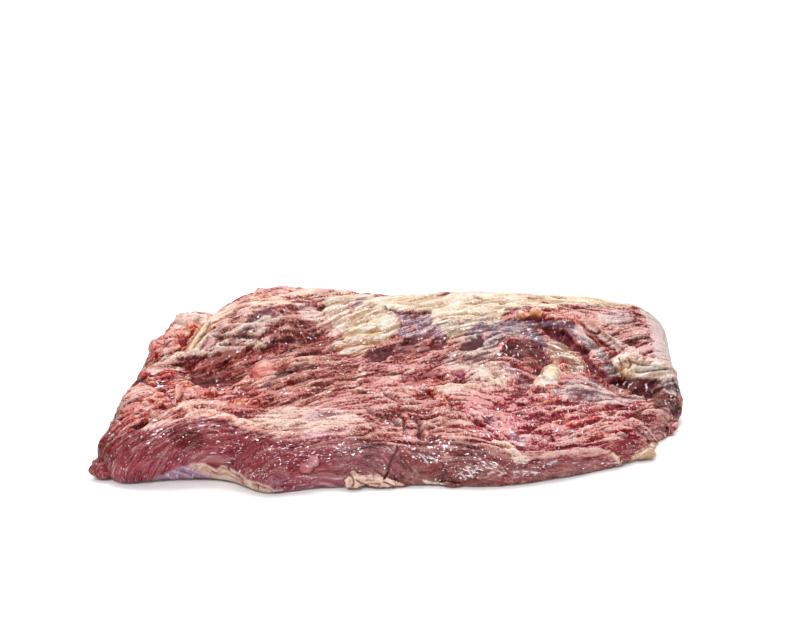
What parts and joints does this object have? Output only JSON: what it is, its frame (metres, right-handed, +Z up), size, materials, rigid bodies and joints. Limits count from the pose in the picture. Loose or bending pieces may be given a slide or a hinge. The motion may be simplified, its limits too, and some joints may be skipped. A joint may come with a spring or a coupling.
{
  "type": "raw beef brisket",
  "caption": "Whole raw beef brisket lying flat: a thick fat-covered back edge, a lean grained middle, and a thin front edge with a lifted lip.",
  "frame": {"origin": "centre of the slab's box, on the surface that it lies on", "axes": "+X along the slab's length, +Y from the thin front edge to the thick back edge, +Z up"},
  "size_m": [0.4496, 0.2874, 0.0765],
  "materials": {
    "raw_meat": "wet raw beef: dark red to pink lean with a grain, cream fat and lilac silverskin"
  },
  "bodies": {
    "root": {"brisket": "raw_meat"}
  },
  "joints": []
}
